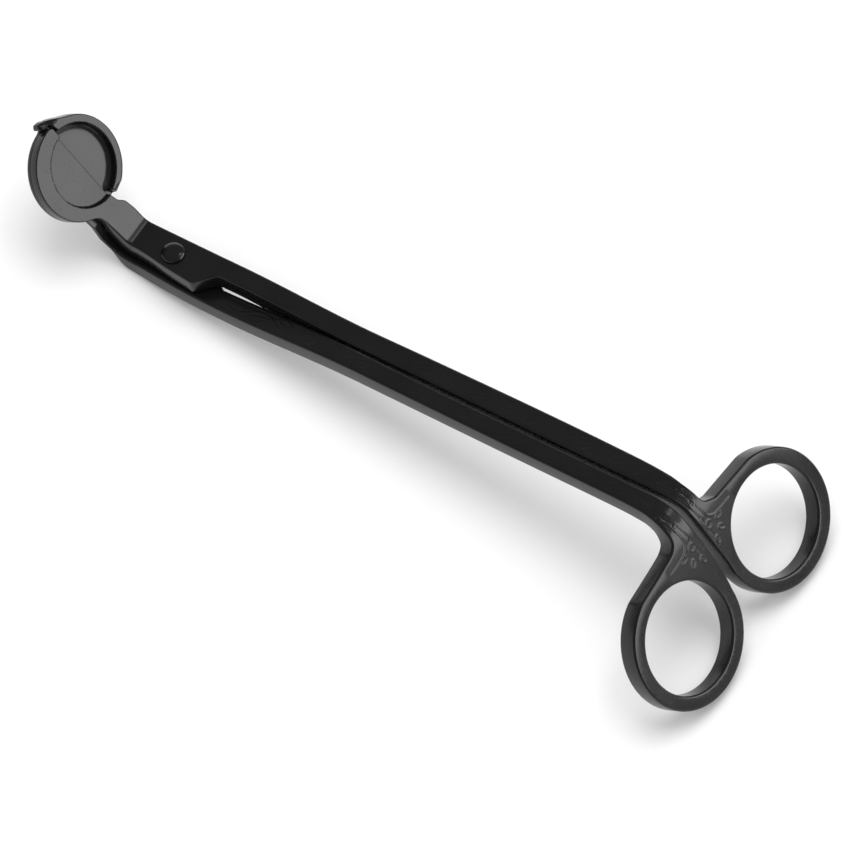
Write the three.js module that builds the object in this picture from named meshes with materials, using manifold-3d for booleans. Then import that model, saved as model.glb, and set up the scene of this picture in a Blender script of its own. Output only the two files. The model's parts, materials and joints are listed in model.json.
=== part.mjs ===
// Candle wick trimmer: two crossed arms on one rivet, a round tray with a
// half-disc blade at the head, finger rings at the other end.
// Units are millimetres. Shapes are drawn in a design frame: x runs along the
// shanks from the handle bend to the head bend, y is sideways (plus = the side
// of the tray arm's ring), z is square to the shanks. The group at the end
// tips everything into its resting stance, +Z up.
import * as THREE from 'three';
import { mergeVertices } from 'three/addons/utils/BufferGeometryUtils.js';
import Module from 'manifold-3d';

const wasm = await Module();
wasm.setup();

// ---------- driving dimensions ----------
const BEND = THREE.MathUtils.degToRad(59.4);      // handle bend
const BEND_HEAD = THREE.MathUtils.degToRad(54.4); // head bend, the other way
const SHANK_LEN = 126.4;      // between the two bend creases, on the top face
const SHANK_T = 3.95;         // shank thickness
const RING_T = 4.2;           // ring plate thickness
const LIFT = 1.95;            // how far each arm steps up or down to cross at the pivot
const LAP_GAP = 0.3;          // between the two laps
const BOSS_T = 3.75;          // lap thickness of each arm
const HANDLE_BEND_R = 5.5;    // top face, outside of the handle bend
const HEAD_BEND_R = 1.2;      // top face, inside of the head bend

const RING_C_L = 19.54;       // ring centres, from the handle crease
const RING_C_W = 15.2;
const RING_R = 14.15;         // ring outside
const HOLE_R = 11.1;          // finger hole
const RING_SHIFT = { blade: 0.3, tray: 0.0 }; // outer rims sit slightly off the hole centres

const DISC_H = 18.5;          // disc centre, from the head crease
const DISC_W = 2.5;
const DISC_R = 10.45;
const RIM_IN_R = 8.65;        // inside of the raised rim
const HEAD_H = 2.9;         // rim top to tray underside
const FLOOR_TOP = 2.0;        // rim top to tray floor
const BLADE_T = 1.78;         // half disc and its neck end
const EDGE_W = 1.3;           // cutting edge, past the disc centre
const RECESS_R = 8.25;        // ground hollow behind the cutting edge
const RECESS_D = 1.0;

const PIVOT_S = 117.6;        // pivot, from the handle crease
const PIVOT_W = 2.0;
const RIVET_R = 1.5;
const HOLE_CLEAR = 0.08;      // running clearance on radius
const HEAD_R = 2.35, DOME = 1.1, HEAD_GAP = 0.1;
const WASHER_R = 3.0, WASHER_T = 0.5;
const TAIL_R = 2.0;

const CH = 0.4;               // edge chamfer on the arms
const SEG = 96;               // round the rings and the disc

// ---------- small helpers ----------
const cb = Math.cos(BEND), sb = Math.sin(BEND);
const ch = Math.cos(BEND_HEAD), sh = Math.sin(BEND_HEAD);
const smooth = (t) => { const c = Math.min(1, Math.max(0, t)); return c * c * (3 - 2 * c); };
const lerpTable = (t, x) => {
  if (x <= t[0][0]) return t[0][1];
  for (let i = 1; i < t.length; i++) {
    if (x <= t[i][0]) {
      const k = (x - t[i - 1][0]) / (t[i][0] - t[i - 1][0]);
      return t[i - 1][1] + k * (t[i][1] - t[i - 1][1]);
    }
  }
  return t[t.length - 1][1];
};

function signedVolume(pos, idx) {
  let v = 0;
  const a = new THREE.Vector3(), b = new THREE.Vector3(), c = new THREE.Vector3();
  for (let i = 0; i < idx.length; i += 3) {
    a.fromArray(pos, idx[i] * 3); b.fromArray(pos, idx[i + 1] * 3); c.fromArray(pos, idx[i + 2] * 3);
    v += a.dot(b.cross(c)) / 6;
  }
  return v;
}

function toManifold(geometry) {
  let g = geometry.clone();
  g.deleteAttribute('normal'); g.deleteAttribute('uv');
  g = mergeVertices(g, 1e-5);
  const pos = Float32Array.from(g.attributes.position.array);
  const idx = Uint32Array.from(g.index.array);
  if (signedVolume(pos, idx) < 0) for (let i = 0; i < idx.length; i += 3) { const t = idx[i]; idx[i] = idx[i + 1]; idx[i + 1] = t; }
  return new wasm.Manifold(new wasm.Mesh({ numProp: 3, vertProperties: pos, triVerts: idx }));
}

function toGeometry(man) {
  const m = man.getMesh();
  const g = new THREE.BufferGeometry();
  const n = m.numProp, pos = new Float32Array((m.vertProperties.length / n) * 3);
  for (let i = 0; i < pos.length / 3; i++) for (let k = 0; k < 3; k++) pos[i * 3 + k] = m.vertProperties[i * n + k];
  g.setAttribute('position', new THREE.BufferAttribute(pos, 3));
  g.setIndex(new THREE.BufferAttribute(Uint32Array.from(m.triVerts), 1));
  g.computeVertexNormals();
  return g;
}

// A bar through stations. Each station: top and bottom points in the side view
// [x, z] and the two side edges wl < wr (w = -y). Corners are chamfered.
function loft(stations, chamfer = CH) {
  const rings = stations.map((s) => {
    const [tx, tz] = s.top, [bx, bz] = s.bot;
    const t = Math.hypot(tx - bx, tz - bz);
    const cz = Math.min(s.cut ?? chamfer, t * 0.3) / t, cw = Math.min(s.cut ?? chamfer, (s.wr - s.wl) * 0.3);
    const at = (w, k) => [bx + (tx - bx) * k, -w, bz + (tz - bz) * k];
    return [
      at(s.wl + cw, 0), at(s.wr - cw, 0), at(s.wr, cz), at(s.wr, 1 - cz),
      at(s.wr - cw, 1), at(s.wl + cw, 1), at(s.wl, 1 - cz), at(s.wl, cz),
    ];
  });
  const k = rings[0].length, pos = [], idx = [];
  rings.forEach((r) => r.forEach((p) => pos.push(...p)));
  for (let i = 0; i < rings.length - 1; i++) {
    for (let j = 0; j < k; j++) {
      const a = i * k + j, b = i * k + ((j + 1) % k), c = a + k, d = b + k;
      idx.push(a, c, b, b, c, d);
    }
  }
  const last = (rings.length - 1) * k;
  for (let j = 1; j < k - 1; j++) { idx.push(0, j, j + 1); idx.push(last, last + j + 1, last + j); }
  const g = new THREE.BufferGeometry();
  g.setAttribute('position', new THREE.BufferAttribute(new Float32Array(pos), 3));
  g.setIndex(idx);
  return toManifold(g);
}

// A flat plate: shape in (a, w), thickness t below the plane, chamfered edges.
function plate(shape, t, bevel) {
  const g = new THREE.ExtrudeGeometry(shape, {
    depth: t - 2 * bevel, bevelEnabled: bevel > 0, bevelThickness: bevel, bevelSize: bevel,
    bevelOffset: -bevel, bevelSegments: 1,
  });
  g.translate(0, 0, -t + bevel);
  return g;
}

// Frames of the two flat ends: local (a, w, n) to the design frame.
const ringFrame = new THREE.Matrix4().makeBasis(
  new THREE.Vector3(-cb, 0, -sb), new THREE.Vector3(0, -1, 0), new THREE.Vector3(-sb, 0, cb));
const headFrame = new THREE.Matrix4().makeBasis(
  new THREE.Vector3(ch, 0, sh), new THREE.Vector3(0, -1, 0), new THREE.Vector3(-sh, 0, ch));
headFrame.setPosition(SHANK_LEN, 0, LIFT);
const ringPt = (l, n) => [-cb * l - sb * n, -sb * l + cb * n];
const headPt = (h, n) => [SHANK_LEN + ch * h - sh * n, LIFT + sh * h + ch * n];

// ---------- outlines (w along the shank and in the end planes) ----------
const B = {
  sign: 1,
  left: [[0, 1.65], [6, 1.75], [20, 1.75], [60, 1.85], [84, 1.9], [98, 1.9], [107.6, 1.8], [110.8, -2.0], [117, -1.35], [126, -0.3]],
  right: [[0, 5.75], [6, 6.25], [14, 6.7], [34, 6.85], [60, 6.65], [90, 6.2], [110, 6.1], [126, 6.15]],
  headL: [[0, -0.3], [2, -0.5], [6, -0.8], [7.5, -0.95]],
  headR: [[0, 6.2], [2.7, 6.05], [6.2, 5.5]],
};
const A = {
  sign: -1,
  left: [[0, -4.5], [6, -3.55], [14, -3.25], [40, -3.15], [60, -3.0], [80, -2.85], [105, -2.65], [112, -2.5], [117, -2.2], [121.5, -1.85], [126, -1.4]],
  right: [[0, 0.7], [4, 0.95], [14, 1.0], [60, 1.1], [80, 1.5], [90, 1.76], [98, 1.78], [106.6, 1.65], [110, 5.7], [118, 6.0], [121.5, 4.6], [126, 2.05]],
  headL: [[0, -1.5], [1, -1.8], [4, -2.3], [8, -2.65], [9.6, -2.75]],
  headR: [[0, 2.05], [2, 1.65], [4, 1.65], [6, 1.95], [9.6, 2.9]],
};

// Side view of each arm: ring end, handle bend, stepped shank, lap, head bend, neck.
function stations(arm) {
  const out = [];
  const isB = arm.sign > 0;
  const R = HANDLE_BEND_R, tl = R * Math.tan(BEND / 2);
  const w = (x) => ({ wl: lerpTable(arm.left, x), wr: lerpTable(arm.right, x) });
  // inside the ring plate, slightly thinner so the plate covers it
  const e0 = isB ? { wl: 1.95, wr: 5.2 } : { wl: -4.8, wr: 0.15 };
  out.push({ top: ringPt(tl + 1.6, -0.3), bot: ringPt(tl + 1.6, -RING_T + 0.3), ...e0 });
  const e1 = isB ? { wl: 1.65, wr: 5.55 } : { wl: -5.15, wr: 0.45 };
  out.push({ top: ringPt(tl + 0.4, 0), bot: ringPt(tl + 0.4, -RING_T), ...e1 });
  // handle bend, from the ring side to the shank side
  const cx = tl, cz = -R, NB = 9;
  for (let i = 0; i <= NB; i++) {
    const f = i / NB, a = Math.PI / 2 + BEND * (1 - f), T = RING_T + (SHANK_T - RING_T) * f;
    const dir = [Math.cos(a), Math.sin(a)];
    const e = w(0);
    const k = 1 - f;
    out.push({
      top: [cx + R * dir[0], cz + R * dir[1]], bot: [cx + (R - T) * dir[0], cz + (R - T) * dir[1]],
      wl: e.wl * (1 - k) + e1.wl * k, wr: e.wr * (1 - k) + e1.wr * k,
    });
  }
  // shank with its step up or down towards the pivot
  const xs = [6, 10, 14, 20, 28, 36, 44, 52, 60, 66, 72, 76, 80, 84, 88, 92, 96, 100, 104, 106.6, 107.6, 110, 110.8, 113, 117, 120, 123, 125.2];
  for (const x of xs) {
    const g = smooth((x - 72) / (105 - 72));
    const top = isB ? LIFT * g : (-LIFT - LAP_GAP / 2) * g;
    const bot = isB ? -SHANK_T + (SHANK_T - LIFT + LAP_GAP / 2) * g
      : -SHANK_T - (LIFT + LAP_GAP / 2 + BOSS_T - SHANK_T) * g;
    out.push({ top: [x, top], bot: [x, bot], ...w(x) });
  }
  // head bend about one centre, then the neck in the head plane
  const r1 = HEAD_BEND_R, tc = r1 * Math.tan(BEND_HEAD / 2);
  const hx = SHANK_LEN - tc, hz = LIFT + r1, NH = 8;
  const endTop = isB ? r1 : r1 + 3.85, endBot = isB ? r1 + 3.4 : r1 + 5.0;
  const sTop = isB ? r1 : hz + LIFT + LAP_GAP / 2, sBot = isB ? hz + LIFT - LAP_GAP / 2 : hz + LIFT + LAP_GAP / 2 + BOSS_T;
  for (let i = 0; i <= NH; i++) {
    const f = i / NH, a = -Math.PI / 2 + BEND_HEAD * f;
    const rt = sTop + (endTop - sTop) * smooth(f), rb = sBot + (endBot - sBot) * smooth(f);
    const s = { wl: lerpTable(arm.left, 126), wr: lerpTable(arm.right, 126) };
    const e = { wl: lerpTable(arm.headL, tc), wr: lerpTable(arm.headR, tc) };
    out.push({
      top: [hx + rt * Math.cos(a), hz + rt * Math.sin(a)], bot: [hx + rb * Math.cos(a), hz + rb * Math.sin(a)],
      wl: s.wl + (e.wl - s.wl) * f, wr: s.wr + (e.wr - s.wr) * f,
    });
  }
  const topD = isB ? [[0, 0], [10, 0]] : [[0, -3.85], [3, -3.5], [6.8, -FLOOR_TOP], [10, -FLOOR_TOP]];
  const botD = isB ? [[0, -3.4], [3, -3.05], [6.2, -BLADE_T], [10, -BLADE_T]] : [[0, -5.0], [3, -4.5], [7.2, -HEAD_H + 0.06], [10, -HEAD_H + 0.06]];
  const hs = isB ? [1.6, 3, 4.2, 5.4, 6.2] : [1.6, 3, 4.4, 5.8, 6.8, 7.6, 8.8, 10];
  for (const h of hs) {
    out.push({ top: headPt(h, lerpTable(topD, h)), bot: headPt(h, lerpTable(botD, h)), wl: lerpTable(arm.headL, h), wr: lerpTable(arm.headR, h), cut: isB ? CH : 0.25 });
  }
  return out;
}

// ---------- ring plates ----------
const arcPts = (cx, cy, r, a0, a1, n) => Array.from({ length: n + 1 }, (_, i) => {
  const a = a0 + ((a1 - a0) * i) / n; return [cx + r * Math.cos(a), cy + r * Math.sin(a)];
});
const curvePts = (p0, p1, p2, p3, n) => new THREE.CubicBezierCurve(...[p0, p1, p2, p3].map((p) => new THREE.Vector2(...p)))
  .getPoints(n).slice(1, -1).map((p) => [p.x, p.y]);
function shapeOf(pts) {
  const s = new THREE.Shape();
  pts.forEach(([a, b], i) => (i ? s.lineTo(a, b) : s.moveTo(a, b)));
  s.closePath();
  return s;
}
function ringPlate(isB) {
  const cw = isB ? RING_C_W : -RING_C_W;
  const oc = cw + (isB ? RING_SHIFT.blade : RING_SHIFT.tray); // centre of the outside
  const dir = isB ? 1 : -1;
  // the near side of the ring swells a little into a web towards the neck
  const a1 = Math.PI - 0.25;
  const join = [RING_C_L + RING_R * Math.cos(a1), oc + dir * RING_R * Math.sin(a1)];
  const knee = isB ? [4.95, 8.2] : [4.75, -7.4];
  const neck = isB ? [2.6, 5.5] : [2.6, -5.1];
  const mid = isB ? [3.6, 5.9] : [3.6, -5.3];
  const circle = arcPts(RING_C_L, oc, RING_R, -dir * (Math.PI / 2 - (isB ? 0 : 0.12)), dir * a1, 72);
  const inner = isB ? [[2.6, 1.65], [9, 1.65], [15, 1.65], [RING_C_L - 2.2, 1.55]]
    : [[2.6, 0.45], [9, 0.45], [14, 0.25], [17.5, -0.3]];
  const pts = [
    ...inner, ...circle,
    ...curvePts(join, [5.6, join[1] - dir * 3], [5.15, knee[1] + dir * 2.6], knee, 10), knee,
    ...curvePts(knee, [4.5, knee[1] - dir * 0.9], [4.1, mid[1] + dir * 0.5], mid, 5), mid, neck,
  ];
  const s = shapeOf(isB ? pts : pts.reverse());
  const hole = new THREE.Path();
  arcPts(RING_C_L, cw, HOLE_R, 0, -2 * Math.PI, 72).slice(0, -1).forEach(([a, b], i) => (i ? hole.lineTo(a, b) : hole.moveTo(a, b)));
  hole.closePath();
  s.holes.push(hole);
  return toManifold(plate(s, RING_T, 0.5).applyMatrix4(ringFrame));
}

// ---------- head plates ----------
function disc(r, z0, z1, a, w, segs = SEG) {
  const g = new THREE.CylinderGeometry(r, r, z1 - z0, segs);
  g.rotateX(Math.PI / 2);
  g.translate(a, w, (z0 + z1) / 2);
  return toManifold(g.applyMatrix4(headFrame));
}
function bladePlate() {
  const c = [DISC_H, DISC_W], edge = DISC_W + EDGE_W;
  const a0 = Math.asin(0.5 / DISC_R);
  const pts = [
    [DISC_H - 9.4, edge + 0.15], [DISC_H - 9.1, edge], // near end of the cutting edge
    [DISC_H + 9.9, edge - 0.1],
    ...arcPts(c[0], c[1], DISC_R, a0, -2.62, 44),
    [8.95, -1.95], [8.1, -1.2], [6.6, -0.8], [4.6, -0.7],
    [4.6, 5.75], [6.3, 5.5], [7.6, 4.3],
  ];
  let m = toManifold(plate(shapeOf(pts), BLADE_T, 0.25).applyMatrix4(headFrame));
  // hollow ground behind the edge
  m = m.subtract(disc(RECESS_R, -RECESS_D, 2, DISC_H - 0.7, DISC_W + EDGE_W, 72));
  return m;
}
function trayHead() {
  const g = new THREE.CylinderGeometry(DISC_R, DISC_R, HEAD_H - FLOOR_TOP, SEG);
  g.rotateX(Math.PI / 2); g.translate(DISC_H, DISC_W, -(HEAD_H + FLOOR_TOP) / 2);
  let m = toManifold(g.applyMatrix4(headFrame));
  // rim: from beside the neck round to the far tip, with the lug that runs off it
  const d = THREE.MathUtils.degToRad;
  const outer = arcPts(0, 0, DISC_R, d(163), d(34), 40);
  const inner = arcPts(0, 0, RIM_IN_R, d(12), d(166), 44);
  const pts = [...outer, [9.45, 4.7], [10.9, 2.8], [12.0, 0.8], [12.2, -0.3], [11.4, -0.9], [10.95, -0.5], [10.9, 0.6], [10.7, 1.2], [10.3, 1.7], ...inner]
    .map(([a, b]) => [a + DISC_H, b + DISC_W]);
  let rim = toManifold(plate(shapeOf(pts), HEAD_H - 0.05, 0.2).applyMatrix4(headFrame));
  // both ends of the rim slope down
  const wedge = (p) => {
    const s = shapeOf(p.map((q) => [q[0], q[1]]));
    const e = new THREE.ExtrudeGeometry(s, { depth: 30, bevelEnabled: false });
    // shape lies in (a, n): turn it so it runs along w
    const mm = new THREE.Matrix4().makeBasis(new THREE.Vector3(1, 0, 0), new THREE.Vector3(0, 0, 1), new THREE.Vector3(0, -1, 0));
    e.applyMatrix4(mm); e.translate(DISC_H, DISC_W + 15, 0);
    return toManifold(e.applyMatrix4(headFrame));
  };
  rim = rim.subtract(wedge([[8.9, 1], [10.3, -0.05], [11.2, -1.0], [12.2, -1.35], [14.5, -1.5], [14.5, 1]]));
  rim = rim.subtract(wedge([[-9.0, 1], [-9.5, -0.35], [-12, -1.6], [-12, 1]]));
  return m.add(rim);
}

function holeAt(r) {
  const g = new THREE.CylinderGeometry(r, r, 40, 48);
  g.rotateX(Math.PI / 2);
  g.translate(PIVOT_S, -PIVOT_W, 0);
  return toManifold(g);
}

// ---------- the arms ----------
let blade = loft(stations(B)).add(ringPlate(true)).add(bladePlate());
blade = blade.subtract(holeAt(RIVET_R + HOLE_CLEAR));
let tray = loft(stations(A)).add(ringPlate(false)).add(trayHead());
tray = tray.subtract(holeAt(RIVET_R + HOLE_CLEAR));

// ---------- rivet and washer, turned about the pivot ----------
const topZ = LIFT + HEAD_GAP, botZ = -LIFT - LAP_GAP / 2 - BOSS_T;
const wTop = botZ - 0.08, wBot = wTop - WASHER_T, tailTop = wBot - 0.08;
const dome = [];
for (let i = 0; i <= 8; i++) { const a = (Math.PI / 2) * (i / 8); dome.push([HEAD_R * Math.cos(a), topZ + 0.15 + (DOME - 0.15) * Math.sin(a)]); }
dome[dome.length - 1][0] = 0;
const rivetProfile = [
  [0, tailTop - 0.62], [1.2, tailTop - 0.6], [TAIL_R - 0.25, tailTop - 0.42], [TAIL_R, tailTop - 0.15], [TAIL_R, tailTop],
  [RIVET_R, tailTop], [RIVET_R, topZ], [HEAD_R, topZ], ...dome,
].map(([r, z]) => new THREE.Vector2(r, z));
const turned = (profile, segs) => {
  const g = new THREE.LatheGeometry(profile, segs);
  g.rotateX(Math.PI / 2);               // lathe axis to z
  g.translate(PIVOT_S, -PIVOT_W, 0);
  return g;
};
const rivet = toManifold(turned(rivetProfile, 48));
const ri = RIVET_R + 0.1;
const washerProfile = [[ri, wBot], [WASHER_R - 0.1, wBot], [WASHER_R, wBot + 0.1], [WASHER_R, wTop - 0.1], [WASHER_R - 0.1, wTop], [ri, wTop], [ri, wBot]]
  .map(([r, z]) => new THREE.Vector2(r, z));
const washer = toManifold(turned(washerProfile, 48));

// ---------- scene graph ----------
const black = (rough) => new THREE.MeshStandardMaterial({ color: 0x111214, roughness: rough, metalness: 0.35 });
const meshOf = (name, man, mat) => { const m = new THREE.Mesh(toGeometry(man), mat); m.name = name; return m; };

const pieces = new THREE.Group();
pieces.add(meshOf('tray_arm', tray, black(0.28)));
pieces.add(meshOf('blade_arm', blade, black(0.28)));
pieces.add(meshOf('pivot_rivet', rivet, new THREE.MeshStandardMaterial({ color: 0x141518, roughness: 0.22, metalness: 0.5 })));
pieces.add(meshOf('tail_washer', washer, new THREE.MeshStandardMaterial({ color: 0x17181a, roughness: 0.35, metalness: 0.5 })));

// Resting stance: tip about y until the ring tips and the head bend share the
// lowest level, then bring the footprint's middle to the origin.
const probe = (angle) => {
  const m = new THREE.Matrix4().makeRotationY(angle);
  const v = new THREE.Vector3();
  let ringLow = Infinity, headLow = Infinity;
  pieces.children.forEach((c) => {
    const p = c.geometry.attributes.position;
    for (let i = 0; i < p.count; i++) {
      v.fromBufferAttribute(p, i);
      const right = v.x > 60; v.applyMatrix4(m);
      if (right) headLow = Math.min(headLow, v.z); else ringLow = Math.min(ringLow, v.z);
    }
  });
  return headLow - ringLow;
};
let lo = 0, hi = 0.5;
for (let i = 0; i < 60; i++) { const mid = (lo + hi) / 2; if (probe(mid) > 0) lo = mid; else hi = mid; }
const tip = (lo + hi) / 2;
pieces.rotation.y = tip;
pieces.updateMatrixWorld(true);
const box = new THREE.Box3().setFromObject(pieces, true);
pieces.position.set(-(box.min.x + box.max.x) / 2, -(box.min.y + box.max.y) / 2, -box.min.z);

const root = new THREE.Group();
root.add(pieces);
export default root;
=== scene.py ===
# Looks of the candle wick trimmer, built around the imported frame.
import math
import json
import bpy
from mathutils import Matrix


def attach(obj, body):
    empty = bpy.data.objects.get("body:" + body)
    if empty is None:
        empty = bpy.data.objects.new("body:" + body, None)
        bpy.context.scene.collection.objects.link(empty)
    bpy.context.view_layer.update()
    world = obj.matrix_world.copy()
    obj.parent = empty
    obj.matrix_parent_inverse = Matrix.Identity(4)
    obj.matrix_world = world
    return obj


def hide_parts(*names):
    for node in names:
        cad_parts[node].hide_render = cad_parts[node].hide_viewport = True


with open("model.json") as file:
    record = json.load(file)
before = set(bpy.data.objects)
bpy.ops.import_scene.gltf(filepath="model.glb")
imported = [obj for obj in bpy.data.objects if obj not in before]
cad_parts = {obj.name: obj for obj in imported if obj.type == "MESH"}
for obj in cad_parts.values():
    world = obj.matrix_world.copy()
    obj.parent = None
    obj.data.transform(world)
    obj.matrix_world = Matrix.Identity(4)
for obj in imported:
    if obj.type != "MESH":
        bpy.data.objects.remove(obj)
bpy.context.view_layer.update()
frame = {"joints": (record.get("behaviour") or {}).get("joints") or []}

import bmesh
import bpy
import numpy as np
from mathutils import Matrix, Vector
from mathutils.geometry import delaunay_2d_cdt

# ------------------------------------------------------------------ dimensions
# The same driving dimensions as the solids, in mm, in the design frame:
# x along the shanks, w sideways (plus = the blade arm's ring), n off the top.
BEND, BEND_HEAD = math.radians(59.4), math.radians(54.4)
SHANK_LEN, SHANK_T, RING_T, LIFT, LAP_GAP, BOSS_T = 126.4, 3.95, 4.2, 1.95, 0.3, 3.75
R1, R2 = 5.5, 1.2
RING_C_L, RING_C_W, RING_R, HOLE_R = 19.54, 15.2, 14.15, 11.1
RING_SHIFT = {"blade": 0.3, "tray": 0.0}
DISC_H, DISC_W, DISC_R, RIM_IN_R = 18.5, 2.5, 10.45, 8.65
HEAD_H, FLOOR_TOP, BLADE_T, EDGE_W = 2.9, 2.0, 1.84, 1.3
RECESS_R, RECESS_D = 8.25, 1.0
PIVOT_S, PIVOT_W = 117.6, 2.0
HOLE_CLEAR_R = 1.58

TL, TC = R1 * math.tan(BEND / 2), R2 * math.tan(BEND_HEAD / 2)
A2 = BEND_HEAD * 3.0                      # arc length given to the head bend


def roll(angle, length):
    """A bend whose turn builds up and dies away over a length, so the coat shows
    one soft roll rather than a crease: distance, turn, x, z, tangent length."""
    q = np.linspace(0, length, 1201)
    a = angle * (q / length - np.sin(2 * math.pi * q / length) / (2 * math.pi))
    x = np.concatenate([[0], np.cumsum((np.cos(a[1:]) + np.cos(a[:-1])) / 2 * np.diff(q))])
    z = np.concatenate([[0], np.cumsum((np.sin(a[1:]) + np.sin(a[:-1])) / 2 * np.diff(q))])
    return q, a, x, z, z[-1] / math.sin(angle)


# Handle bend, followed along the line REF off the top.
A1, REF = 11.0, -2.0
BS, BA, BX, BZ, T1 = roll(BEND, A1)
CORNER = TL - (R1 + REF) * math.tan(BEND / 2)
U_BEND = CORNER + T1                      # roll starts here, going towards the ring
U_RING = 2 * CORNER + 2 * T1 - A1 - TL    # where the ring plate's l equals TL
U_FLAT = U_BEND - A1                      # roll ends, flat ring plate from here on
U_HB = SHANK_LEN - TC                     # head bend, as marked along the bar
U_HEAD = U_HB + A2 - TC                   # U = U_HEAD + h in the head plane
HEAD_ROLL = {True: roll(BEND_HEAD, 4.0), False: roll(BEND_HEAD, 9.0)}   # blade arm, tray arm

joint = frame["joints"][0]
AX = np.array(joint["axis"], float)
TIP = math.atan2(AX[0], AX[2])
RY = np.array([[math.cos(TIP), 0, math.sin(TIP)], [0, 1, 0], [-math.sin(TIP), 0, math.cos(TIP)]])
SHIFT = np.array(joint["pos_m"], float) * 1000 - RY @ np.array([PIVOT_S, -PIVOT_W, 0.0])


def to_world(p):
    """Design millimetres to the row frame in metres."""
    return (np.asarray(p, float) @ RY.T + SHIFT) / 1000.0


def unroll(u, w, n, is_b=True):
    """Bar coordinates (u along the bar, w, n off the top) to the design frame."""
    hs, ha, hx, hz, ht = HEAD_ROLL[is_b]
    u_s, u_e = SHANK_LEN - ht, U_HEAD + ht
    u, w, n = (np.asarray(v, float) for v in (u, w, n))
    x, z = u.copy(), n.copy()
    m = u < U_FLAT                                    # ring plate
    lr = TL + (U_RING - u)
    x = np.where(m, -math.cos(BEND) * lr - math.sin(BEND) * n, x)
    z = np.where(m, -math.sin(BEND) * lr + math.cos(BEND) * n, z)
    m = (u >= U_FLAT) & (u < U_BEND)                  # handle bend
    q = np.clip(U_BEND - u, 0, A1)
    a = np.interp(q, BS, BA)
    x = np.where(m, U_BEND - np.interp(q, BS, BX) - (n - REF) * np.sin(a), x)
    z = np.where(m, REF - np.interp(q, BS, BZ) + (n - REF) * np.cos(a), z)
    m = (u > u_s) & (u <= u_e)                        # head bend
    q = np.clip((u - u_s) / (u_e - u_s), 0, 1) * hs[-1]
    a = np.interp(q, hs, ha)
    x = np.where(m, u_s + np.interp(q, hs, hx) - (n - LIFT) * np.sin(a), x)
    z = np.where(m, LIFT + np.interp(q, hs, hz) + (n - LIFT) * np.cos(a), z)
    m = u > u_e                                       # head plane
    h = u - U_HEAD
    k = n - LIFT
    x = np.where(m, SHANK_LEN + math.cos(BEND_HEAD) * h - math.sin(BEND_HEAD) * k, x)
    z = np.where(m, LIFT + math.sin(BEND_HEAD) * h + math.cos(BEND_HEAD) * k, z)
    return np.stack([x, -w, z], -1)


# ------------------------------------------------------------------ small maths
def smooth(t):
    t = np.clip(t, 0, 1)
    return t * t * (3 - 2 * t)


def pchip(tab, x):
    """Monotone cubic through a table: keeps the outline free of kinks."""
    t = np.array(tab, float)
    X, Y = t[:, 0], t[:, 1]
    h, d = np.diff(X), np.diff(Y) / np.diff(X)
    m = np.zeros_like(X)
    for i in range(1, len(X) - 1):
        if d[i - 1] * d[i] > 0:
            a, b = 2 * h[i] + h[i - 1], h[i] + 2 * h[i - 1]
            m[i] = (a + b) / (a / d[i - 1] + b / d[i])
    m[0], m[-1] = d[0], d[-1]
    x = np.clip(np.asarray(x, float), X[0], X[-1])
    i = np.clip(np.searchsorted(X, x, side="right") - 1, 0, len(h) - 1)
    s = (x - X[i]) / h[i]
    return (Y[i] * (1 + 2 * s) * (1 - s) ** 2 + m[i] * h[i] * s * (1 - s) ** 2
            + Y[i + 1] * s * s * (3 - 2 * s) + m[i + 1] * h[i] * s * s * (s - 1))


def arc(cx, cy, r, a0, a1, n):
    a = np.linspace(a0, a1, n + 1)
    return [[cx + r * math.cos(t), cy + r * math.sin(t)] for t in a]


def bezier(p0, p1, p2, p3, n):
    t = np.linspace(0, 1, n + 1)[:, None]
    p0, p1, p2, p3 = (np.array(p, float) for p in (p0, p1, p2, p3))
    q = p0 * (1 - t) ** 3 + 3 * p1 * t * (1 - t) ** 2 + 3 * p2 * t * t * (1 - t) + p3 * t ** 3
    return q[1:-1].tolist()


def resample(loop, step):
    """Closed loop to even steps."""
    p = np.array(loop, float)
    q = np.vstack([p, p[:1]])
    d = np.hypot(*np.diff(q, axis=0).T)
    keep = np.concatenate([[True], d > 1e-9])
    q = q[keep]
    s = np.concatenate([[0], np.cumsum(np.hypot(*np.diff(q, axis=0).T))])
    n = max(8, int(round(s[-1] / step)))
    t = np.linspace(0, s[-1], n, endpoint=False)
    return np.stack([np.interp(t, s, q[:, 0]), np.interp(t, s, q[:, 1])], 1)


def gauss_loop(p, sigma, step):
    k = int(math.ceil(3.2 * sigma / step))
    x = np.arange(-k, k + 1) * step
    g = np.exp(-x * x / (2 * sigma * sigma))
    g /= g.sum()
    out = np.zeros_like(p)
    for c, wgt in zip(range(-k, k + 1), g):
        out += np.roll(p, -c, axis=0) * wgt
    return out


def normals_in(p):
    """Unit normals into a counter-clockwise loop."""
    d = np.roll(p, -1, 0) - np.roll(p, 1, 0)
    d /= np.linalg.norm(d, axis=1)[:, None]
    return np.stack([-d[:, 1], d[:, 0]], 1)


def inside(p, loop):
    """Even-odd test, p (N,2) against a closed loop."""
    x, y = p[:, 0], p[:, 1]
    c = np.zeros(len(p), bool)
    a, b = loop, np.roll(loop, -1, 0)
    for (x0, y0), (x1, y1) in zip(a, b):
        if y0 == y1:
            continue
        m = (y0 > y) != (y1 > y)
        c ^= m & (x < (x1 - x0) * (y - y0) / (y1 - y0) + x0)
    return c


def seg_dist(p, line, closed=False):
    """Distance from points to a polyline."""
    q = np.array(line, float)
    if closed:
        q = np.vstack([q, q[:1]])
    best = np.full(len(p), 1e9)
    for a, b in zip(q[:-1], q[1:]):
        ab = b - a
        t = np.clip(((p - a) @ ab) / max(ab @ ab, 1e-12), 0, 1)
        best = np.minimum(best, np.hypot(*(p - a - t[:, None] * ab).T))
    return best


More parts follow.
